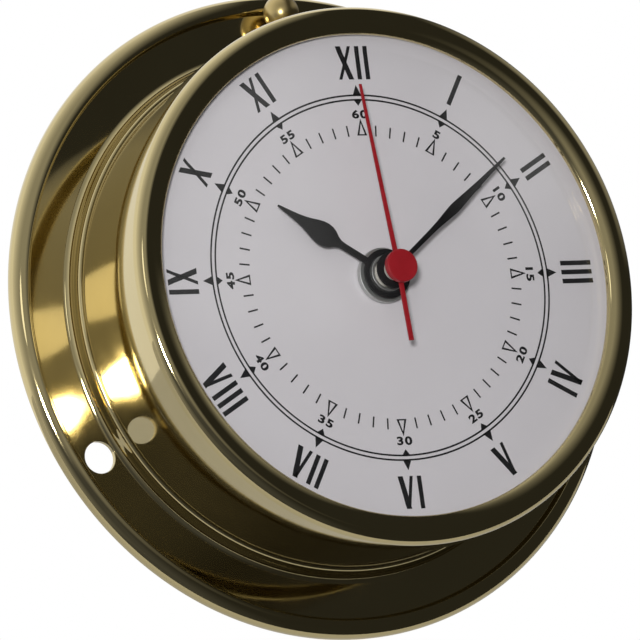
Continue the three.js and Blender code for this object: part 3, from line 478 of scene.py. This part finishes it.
def eased(points, radius):
    """Round the corners of a closed outline off the axis, with points beside them that keep flats flat."""
    out = []
    for i, corner in enumerate(points):
        here = Vector(corner)
        before = Vector(points[i - 1]) - here
        after = Vector(points[(i + 1) % len(points)]) - here
        turn = before.angle(after)
        cut = min(radius / math.tan(turn / 2), before.length * EASE_SHARE, after.length * EASE_SHARE)
        if here.x == 0 or turn > NEARLY_STRAIGHT or cut < 1e-3:
            out.append(corner)
            continue
        first = here + before.normalized() * cut
        last = here + after.normalized() * cut
        out.append(tuple(here + before.normalized() * cut * EASE_GUARD))
        for k in range(EASE_STEPS + 1):
            t = k / EASE_STEPS
            out.append(tuple(first * (1 - t) ** 2 + here * 2 * t * (1 - t) + last * t ** 2))
        out.append(tuple(here + after.normalized() * cut * EASE_GUARD))
    return out


def turned(outline, segments):
    """Turn a closed outline of (radius, height) points about the axis."""
    build = bmesh.new()
    turns = [2 * math.pi * k / segments for k in range(segments)]
    rings = []
    for radius, height in outline:
        if radius < 1e-6:
            rings.append([build.verts.new((0, 0, height))] * segments)
            continue
        rings.append([build.verts.new((radius * math.cos(t), radius * math.sin(t), height)) for t in turns])
    for i, ring in enumerate(rings):
        other = rings[(i + 1) % len(rings)]
        for k in range(segments):
            j = (k + 1) % segments
            corners = list(dict.fromkeys((ring[k], ring[j], other[j], other[k])))
            if len(corners) > 2:
                build.faces.new(corners)
    return build


def lathe(name, outline, material, body, replaces, segments, turn=CLOCK):
    return finish_mesh(name, turned(outline, segments), material, body, replaces, turn)


def moved(build, matrix):
    bmesh.ops.transform(build, matrix=matrix, verts=build.verts)
    return build


def cut_or_join(piece, tool, operation):
    """Apply a boolean to a piece with a bmesh in the clock's own frame."""
    bmesh.ops.recalc_face_normals(tool, faces=tool.faces)
    helper = placed("tool", frame_mesh("tool", tool))
    change = piece.modifiers.new("change", "BOOLEAN")
    change.operation = operation
    change.object = helper
    change.solver = "EXACT"
    result = final_mesh(piece)
    piece.modifiers.clear()
    piece.data = result
    bpy.data.objects.remove(helper)


def mark_edges_again(piece):
    """Mark the crisp edges of a piece after its booleans."""
    build = bmesh.new()
    build.from_mesh(piece.data)
    mark_edges(build)
    build.to_mesh(piece.data)
    build.free()


# Flange with its collar, boss and holes

flange_outline = eased([
    (LEDGE_RADIUS, 0),
    *arc(
        FLANGE_RADIUS - FLANGE_BACK_ROUND, FLANGE_BACK_ROUND, FLANGE_BACK_ROUND, FLANGE_BACK_ROUND,
        -90, 0, steps=5,
    ),
    *arc(LIP_SHOULDER, LIP_WALL, FLANGE_RADIUS - LIP_SHOULDER, LIP_TOP - LIP_WALL, 0, 90, steps=20),
    *arc(LIP_INNER + LIP_ROUND, LIP_TOP - LIP_ROUND, LIP_ROUND, LIP_ROUND, 90, 160, steps=5),
    (LIP_FOOT, FLANGE_FACE),
    *arc(COLLAR_FOOT, FLANGE_FACE + COVE, COLLAR_FOOT - COLLAR_STEP, COVE, -90, -165, steps=14),
    *arc(
        COLLAR_MOUTH, COLLAR_TOP - COLLAR_ROUND, COLLAR_STEP - COLLAR_MOUTH, COLLAR_ROUND,
        0, 90, steps=12,
    ),
    (COLLAR_BORE, COLLAR_TOP),
    (COLLAR_BORE, LEDGE),
    (LEDGE_RADIUS, LEDGE),
], FLANGE_EASE)
flange = lathe("flange_turned", flange_outline, BRASS, "case", "mounting_flange", RIM_SEGMENTS)

to_lock = Matrix.Translation((0, 0, LOCK_HEIGHT)) @ Matrix.Rotation(math.radians(LOCK_TURN), 4, "Z")
to_lock = to_lock @ Matrix.Rotation(math.radians(-90), 4, "X")
boss = turned(eased(section(0, BOSS_RADIUS, BOSS_START, BOSS_END), BOSS_EASE), BOSS_SEGMENTS)
cut_or_join(flange, moved(boss, to_lock), "UNION")

hole_outline = [
    (0, -CUTTER_REACH),
    (HOLE_BACK_RADIUS, -CUTTER_REACH),
    (HOLE_BACK_RADIUS, HOLE_BACK_DEPTH),
    (HOLE_RADIUS, HOLE_BACK_DEPTH),
    (HOLE_RADIUS, FLANGE_FACE - HOLE_RIM),
    (HOLE_RADIUS + 2 * HOLE_RIM, FLANGE_FACE + HOLE_RIM),
    (HOLE_RADIUS + 2 * HOLE_RIM, FLANGE_FACE + CUTTER_REACH),
    (0, FLANGE_FACE + CUTTER_REACH),
]
for k in range(HOLE_COUNT):
    spot = math.radians(90 - HOLE_ANGLE + 360 / HOLE_COUNT * k)
    place = Matrix.Translation((HOLE_RING * math.cos(spot), HOLE_RING * math.sin(spot), 0))
    cut_or_join(flange, moved(turned(hole_outline, SMALL_SEGMENTS), place), "DIFFERENCE")
bore = turned(section(0, BOSS_BORE, BOSS_BORE_START, BOSS_BORE_END), BORE_SEGMENTS)
cut_or_join(flange, moved(bore, to_lock), "DIFFERENCE")
mark_edges_again(flange)


# Drum, bezel and lock screw

tube = eased(section(DRUM_RADIUS - DRUM_WALL, COLLAR_BORE - SNUG, DRUM_BACK, DRUM_TOP), DRUM_EASE)
lathe("drum_turned", tube, BRASS, "case", "case_drum", RIM_SEGMENTS)

# Two points close to the bezel's rear inner corner keep it crisp
bezel_outline = eased([
    (BEZEL_BORE, BEZEL_BACK + BEZEL_CRISP),
    (BEZEL_BORE, BEZEL_BACK),
    (BEZEL_BORE + BEZEL_CRISP, BEZEL_BACK),
    (BEZEL_BACK_FLAT, BEZEL_BACK),
    (BEZEL_BACK_RADIUS, BEZEL_BACK + BEZEL_BACK_CHAMFER),
    *arc(BEZEL_CROWN, BEZEL_TOP - BEZEL_ROUND, BEZEL_RADIUS - BEZEL_CROWN, BEZEL_ROUND, 0, 90, steps=14),
    *arc(BEZEL_CROWN, BEZEL_TOP - BEZEL_FALL, BEZEL_CROWN - BEZEL_LIP, BEZEL_FALL, 90, 180, steps=14)[1:],
    (BEZEL_LIP, GLASS_SEAT),
    (BEZEL_BORE, GLASS_SEAT),
], BEZEL_EASE)
lathe("bezel_turned", bezel_outline, BRASS, "case", "bezel", RIM_SEGMENTS)

# The ball's round starts where it is as wide as the neck
screw_outline = [
    (0, DRUM_RADIUS + FIT),
    (LOCK_SHANK, DRUM_RADIUS + FIT),
    (LOCK_SHANK, BOSS_END + FIT),
    (LOCK_NECK, BOSS_END + FIT),
    *arc(0, LOCK_BALL_AT, LOCK_BALL, LOCK_BALL, LOCK_BALL_START, 90, steps=28),
]
lathe(
    "lock_screw_turned", screw_outline, SATIN_BRASS, "lock", "lock_screw", SMALL_SEGMENTS,
    CLOCK @ to_lock,
)


# Glass and the ring under it

def dome(radius, base, top):
    """Part of a circle from a rim up to the axis."""
    rise = top - base
    sphere = (radius * radius + rise * rise) / (2 * rise)
    half = math.degrees(math.asin(radius / sphere))
    return arc(0, top - sphere, sphere, sphere, 90 - half, 90, DOME_STEPS)


glass_high = GLASS_SEAT - FIT
glass_low = glass_high - GLASS_EDGE
glass_outline = [
    *reversed(dome(GLASS_INNER, glass_low, GLASS_INNER_TOP)),
    (DIAL_RADIUS, glass_low),
    (DIAL_RADIUS, glass_high),
    *dome(GLASS_RADIUS, glass_high, GLASS_TOP),
]
glass = lathe("glass_dome", glass_outline, GLASS, "case", "glass", GLASS_SEGMENTS)
ring = eased(section(RING_BORE, DIAL_RADIUS, DIAL + FIT, RING_TOP), RING_EASE)
lathe("glass_ring", ring, BRASS, "case", "glass_retaining_ring", DIAL_SEGMENTS)


# Dial and its printing

plate = eased(section(DIAL_HOLE, DIAL_RADIUS, DIAL - DIAL_THICKNESS, DIAL), DIAL_EASE)
lathe("dial_plate", plate, DIAL_WHITE, "case", "dial", DIAL_SEGMENTS)


class Print:
    """Flat printed shapes on the dial, in units of the scale's radius."""

    def __init__(self):
        self.build = bmesh.new()

    def shape(self, points):
        places = [(x * SCALE_RADIUS, y * SCALE_RADIUS, PRINT_HEIGHT) for x, y in points]
        face = self.build.faces.new([self.build.verts.new(place) for place in places])
        face.normal_update()
        if face.normal.z < 0:
            face.normal_flip()

    def at(self, clock, polygons):
        """Shapes drawn at the top of the dial, turned to a clock angle."""
        turn = -math.radians(clock)
        c = math.cos(turn)
        s = math.sin(turn)
        for polygon in polygons:
            self.shape([(x * c - y * s, x * s + y * c) for x, y in polygon])

    def ring(self, radius, width):
        inner = radius - width / 2
        outer = radius + width / 2
        for k in range(TRACK_SEGMENTS):
            a, b = (2 * math.pi * (k + j) / TRACK_SEGMENTS for j in (0, 1))
            corners = ((inner, a), (outer, a), (outer, b), (inner, b))
            self.shape([(r * math.cos(t), r * math.sin(t)) for r, t in corners])

    def piece(self, name):
        finish_mesh(name, self.build, INK, "case")


def bar(x, y, width, height):
    return [(x, y), (x + width, y), (x + width, y + height), (x, y + height)]


def stroke(foot, head, width):
    """A slanted stroke of a numeral, from its foot at y = 0 to its head."""
    half = width / 2
    lower = [(foot - half, 0), (foot + half, 0)]
    upper = [(head + half, NUMERAL_HEIGHT), (head - half, NUMERAL_HEIGHT)]
    return lower + upper


def roman(word):
    """Strokes of a Roman numeral, centred on x with its feet at y = 0."""
    strokes = []
    x = 0.0
    for letter in word:
        if letter == "I":
            strokes.append(bar(x, 0, NUMERAL_BAR, NUMERAL_HEIGHT))
            x += NUMERAL_BAR + LETTER_GAP
            continue
        left = x + LETTER_LEFT
        right = x + LETTER - LETTER_RIGHT
        thick_foot = thin_foot = x + LETTER / 2
        if letter == "X":
            thick_foot = right - LETTER_LEAN
            thin_foot = left - LETTER_LEAN
        strokes.append(stroke(thick_foot, left, NUMERAL_THICK))
        strokes.append(stroke(thin_foot, right, NUMERAL_THIN))
        x += LETTER + LETTER_GAP
    shift = (x - LETTER_GAP) / 2
    return [[(px - shift, py) for px, py in polygon] for polygon in strokes]


def seated(polygons, outward):
    """Lift an upright numeral to its radius; with feet outward it is turned half round."""
    if outward:
        return [[(-x, NUMERAL_LOW + NUMERAL_HEIGHT - y) for x, y in polygon] for polygon in polygons]
    return [[(x, NUMERAL_LOW + y) for x, y in polygon] for polygon in polygons]


def triangle(base, apex):
    return [(-MARK_HALF, base), (MARK_HALF, base), (0, apex)]


def open_triangle():
    """The outline of a triangle as three strips."""
    base = TRIANGLE_BASE
    apex = TRIANGLE_APEX
    half = TRIANGLE_HALF
    inner_half = half - TRIANGLE_SIDE_LINES * TRIANGLE_LINE
    inner_base = base + TRIANGLE_LINE
    inner_apex = apex - TRIANGLE_TIP_LINES * TRIANGLE_LINE
    return [
        [(-half, base), (half, base), (inner_half, inner_base), (-inner_half, inner_base)],
        [(half, base), (0, apex), (0, inner_apex), (inner_half, inner_base)],
        [(-half, base), (-inner_half, inner_base), (0, inner_apex), (0, apex)],
    ]


def written(word):
    """A printed number as a mesh in mm, centred, from the built-in typeface."""
    text = bpy.data.curves.new("word", "FONT")
    text.body = word
    text.align_x = "CENTER"
    text.size = NUMBER_HEIGHT / TYPE_HEIGHT
    text.offset = NUMBER_WEIGHT
    text.space_character = NUMBER_SPACING
    text.resolution_u = 6
    mesh = curve_mesh("word", text)
    mesh.transform(Matrix.Diagonal((NUMBER_STRETCH, 1, 1, 1)))
    return mesh


numerals = Print()
for hour, word in enumerate("XII I II III IV V VI VII VIII IX X XI".split()):
    numerals.at(30 * hour, seated(roman(word), hour in UPSIDE_DOWN))
numerals.piece("dial_numerals")

scale = Print()
scale.ring(TRACK_OUTER, TRACK_LINE)
scale.ring(TRACK_INNER, TRACK_LINE)
for hour in range(12):
    scale.at(30 * hour, [triangle(*MARK_OUTWARD), triangle(*MARK_INWARD), *open_triangle()])
for minute in range(60):
    if minute % 5:
        scale.at(6 * minute, [bar(-TICK_WIDTH / 2, TICK_LOW, TICK_WIDTH, TICK_LENGTH)])
scale.piece("dial_scale")

minutes = bmesh.new()
for hour in range(1, 13):
    number = written(str(5 * hour))
    turn = Matrix.Rotation(math.radians(-30 * hour), 4, "Z")
    out = Matrix.Translation((0, NUMBER_RING * SCALE_RADIUS, PRINT_HEIGHT))
    spin = Matrix.Rotation(math.pi if hour in UPSIDE_DOWN else 0, 4, "Z")
    middle = Matrix.Translation((0, -NUMBER_MIDDLE, 0))
    number.transform(turn @ out @ spin @ middle)
    minutes.from_mesh(number)
finish_mesh("dial_minutes", minutes, INK, "case")

nut = eased(section(NUT_BORE, NUT_RADIUS, DIAL + FIT, NUT_TOP), NUT_EASE)
lathe("dial_nut_turned", nut, NICKEL, "case", "dial_nut", SMALL_SEGMENTS)


# Hands, drawn pointing to 12 o'clock

def blade(name, outline, hole, low, material, body, clock, replaces, drop=0.0, hub=0.0):
    """A flat hand with eased edges; drop is its fall per mm beyond the hub."""
    curve = bpy.data.curves.new(name, "CURVE")
    curve.dimensions = "2D"
    curve.fill_mode = "BOTH"
    curve.extrude = HAND_THICKNESS / 2 - HAND_EASE
    curve.bevel_depth = HAND_EASE
    curve.bevel_resolution = 2
    curve.offset = -HAND_EASE
    for points in (outline, arc(0, 0, hole, hole, 360, 0, steps=48)[:-1]):
        spline = curve.splines.new("POLY")
        spline.points.add(len(points) - 1)
        spline.use_cyclic_u = True
        for point, (x, y) in zip(spline.points, points):
            point.co = (x, y, 0, 1)
    build = bmesh.new()
    build.from_mesh(curve_mesh(name, curve))
    bmesh.ops.remove_doubles(build, verts=build.verts, dist=1e-4)
    for vert in build.verts:
        vert.co.z += low + HAND_THICKNESS / 2 - drop * max(0, vert.co.y - hub)
    moved(build, Matrix.Rotation(-math.radians(clock), 4, "Z"))
    finish_mesh(name, build, material, body, replaces)


def on_hub(radius, neck, side):
    """A hub's circle round from one side of the neck to the other, then the blade's two sides."""
    start = math.degrees(math.asin(neck / radius))
    round_hub = arc(0, 0, radius, radius, 90 + start, 450 - start, steps=56)
    return [*round_hub, *side, *[(-x, y) for x, y in reversed(side)]]


# Right sides of the blades, as half widths at distances from the axis
hour_side = [
    (0.65, 9.6), (0.72, 10.6), (1.15, 11.5), (1.8, 12.3), (2.2, 13.2), (2.32, 14.2), (2.22, 15.2),
    (1.9, 16.3), (1.45, 17.5), (1.05, 18.8), (0.75, 20.2), (0.5, 21.8), (0.3, 23.4), (0.14, 24.5),
]
minute_side = [
    (0.46, 8.0), (0.5, 11.5), (0.6, 14.0), (0.8, 16.4), (0.93, 18.0), (0.96, 19.0),
    (0.88, 20.6), (0.68, 23.6), (0.5, 27.0), (0.36, 31.0), (0.22, MINUTE_TIP),
]

hour_outline = on_hub(HOUR_HUB, HOUR_NECK, hour_side)
blade("hour_hand_cut", hour_outline, HOUR_HOLE, HOUR_LOW, HAND_BLACK, "hours", HOUR_ANGLE, "hour_hand")
bush = eased(section(BUSH_BORE, BUSH_RADIUS, HOUR_LOW, HOUR_LOW + BUSH_HEIGHT), BUSH_EASE)
lathe("hour_hand_bush_turned", bush, NICKEL, "hours", "hour_hand_bush", SMALL_SEGMENTS)

minute_outline = on_hub(MINUTE_HUB, MINUTE_NECK, minute_side)
minute_drop = MINUTE_FALL / (MINUTE_TIP - MINUTE_HUB)
blade(
    "minute_hand_cut", minute_outline, MINUTE_HOLE, MINUTE_LOW, HAND_BLACK, "minutes", MINUTE_ANGLE,
    "minute_hand", minute_drop, MINUTE_HUB,
)

hub_turn = math.degrees(math.asin(SECOND_NECK / SECOND_HUB))
second_outline = [
    *arc(0, 0, SECOND_HUB, SECOND_HUB, 90 + hub_turn, 270 - hub_turn, steps=24),
    (-SECOND_NECK, -SECOND_TAIL),
    (SECOND_NECK, -SECOND_TAIL),
    *arc(0, 0, SECOND_HUB, SECOND_HUB, 270 + hub_turn, 450 - hub_turn, steps=24),
    (SECOND_TIP_HALF, SECOND_TIP),
    (-SECOND_TIP_HALF, SECOND_TIP),
]
second_drop = SECOND_FALL / (SECOND_TIP - SECOND_HUB)
blade(
    "second_hand_cut", second_outline, SECOND_HOLE, SECOND_LOW, HAND_RED, "seconds", SECOND_ANGLE,
    "second_hand", second_drop, SECOND_HUB,
)
cap = eased(section(0, CAP_RADIUS, CAP_LOW, CAP_LOW + CAP_HEIGHT), CAP_EASE)
lathe("second_hand_cap_turned", cap, HAND_RED, "seconds", "second_hand_cap", SMALL_SEGMENTS)


# Studio in metres: a pale floor below the clock, a white surround behind it and a darker room in front

FLOOR_REACH = 6.0
FLOOR_FRONT = -0.12
FLOOR_HEIGHT = -0.75
WHITE = (1.0, 1.0, 1.0)
DARK_ROOM = (0.03, 0.03, 0.028)
LEFT_ROOM = (0.075, 0.078, 0.085)
LEFT_GLOW = (0.38, 0.38, 0.37)
RIGHT_GLOW = (0.35, 0.35, 0.34)
KEY_PLACE = (-0.80, -1.40, -0.12)
WINDOW_PLACE = (-0.66, -1.30, 0.36)
LAMP_AIM = (0, -0.03, 0)
CAMERA_LENS = 384.9
CAMERA_SENSOR = 36
CAMERA_NEAR = 0.01
CAMERA_PLACE = (-0.5847, -1.1221, -0.2686)
CAMERA_RIGHT = (0.8911, -0.4343, -0.1316)
CAMERA_UP = (0.0242, -0.2441, 0.9695)
CAMERA_BACK = (-0.4532, -0.8671, -0.2070)

# Where the parts of the surround fade, as limits on a direction's x, y or z
LEFT_X = (0.05, 0.38)
LEFT_ROOM_X = (-0.2, 0.2)
LEFT_GLOW_Z = (-0.2, 0.05)
RIGHT_GLOW_X = (0.6, 0.8)
RIGHT_GLOW_Z = (0.2, 0.4)
SIDE_Y = (-0.75, 0.25)
SIDE_Z = (-0.75, -0.1)
BEHIND_X = (0.53, 0.6)
BEHIND_Y = (0.0, 0.2)

scene.view_settings.view_transform = "Standard"

floor_mesh = bpy.data.meshes.new("floor")
floor_corners = [
    (-FLOOR_REACH, FLOOR_FRONT, FLOOR_HEIGHT),
    (FLOOR_REACH, FLOOR_FRONT, FLOOR_HEIGHT),
    (FLOOR_REACH, FLOOR_REACH, FLOOR_HEIGHT),
    (-FLOOR_REACH, FLOOR_REACH, FLOOR_HEIGHT),
]
floor_mesh.from_pydata(floor_corners, [], [(0, 1, 2, 3)])
pale = mottled("floor", (0.78, 0.78, 0.78), (0.80, 0.80, 0.80), rough=(0.6, 0.8), scale=3)
floor_mesh.materials.append(pale)
floor = placed("floor", floor_mesh)

world = bpy.data.worlds.new("studio")
scene.world = world
world.use_nodes = True
sky = world.node_tree
direction = sky.nodes.new("ShaderNodeTexCoord").outputs["Generated"]
split = sky.nodes.new("ShaderNodeSeparateXYZ")
sky.links.new(direction, split.inputs[0])
x, y, z = (split.outputs[axis] for axis in "XYZ")


def rising(value, start, end):
    return spread(sky, value, 0, 1, start, end)


def falling(value, start, end):
    return spread(sky, value, 1, 0, start, end)


# The room in front is dark, less so at the left, with a glow at each side
on_left = falling(x, *LEFT_X)
glow_left = times(sky, on_left, rising(z, *LEFT_GLOW_Z))
glow_right = times(sky, rising(x, *RIGHT_GLOW_X), rising(z, *RIGHT_GLOW_Z))
room = blend_colours(sky, falling(x, *LEFT_ROOM_X), DARK_ROOM, LEFT_ROOM)
room = blend_colours(sky, glow_left, room, LEFT_GLOW)
room = blend_colours(sky, glow_right, room, RIGHT_GLOW)

# White stands behind the clock and comes round at its left
side = times(sky, on_left, rising(y, *SIDE_Y))
side = times(sky, side, rising(z, *SIDE_Z))
behind = times(sky, rising(y, *BEHIND_Y), falling(x, *BEHIND_X))
surround = blend_colours(sky, behind, blend_colours(sky, side, room, WHITE), WHITE)
sky.links.new(surround, sky.nodes["Background"].inputs["Color"])


def lamp(name, place, size, power):
    """A round lamp in metres and watts, turned to the clock."""
    light = bpy.data.lights.new(name, "AREA")
    light.shape = "DISK"
    light.size = size
    light.energy = power
    holder = placed(name, light)
    holder.location = place
    holder.rotation_euler = (Vector(place) - Vector(LAMP_AIM)).to_track_quat("Z", "Y").to_euler()
    return holder


# The lamps light everything but the lens, which would show them as spots
key = lamp("key", KEY_PLACE, size=0.2, power=13)
window = lamp("window", WINDOW_PLACE, size=0.30, power=0.30)
unlit = bpy.data.collections.new("lens_without_spots")
unlit.objects.link(glass)
unlit.collection_objects[0].light_linking.link_state = "EXCLUDE"
for light in (key, window):
    light.light_linking.receiver_collection = unlit

camera = placed("camera", bpy.data.cameras.new("camera"))
camera.data.lens = CAMERA_LENS
camera.data.sensor_width = CAMERA_SENSOR
camera.data.clip_start = CAMERA_NEAR
axes = Matrix((CAMERA_RIGHT, CAMERA_UP, CAMERA_BACK)).transposed().to_4x4()
camera.matrix_world = Matrix.Translation(CAMERA_PLACE) @ axes
scene.camera = camera
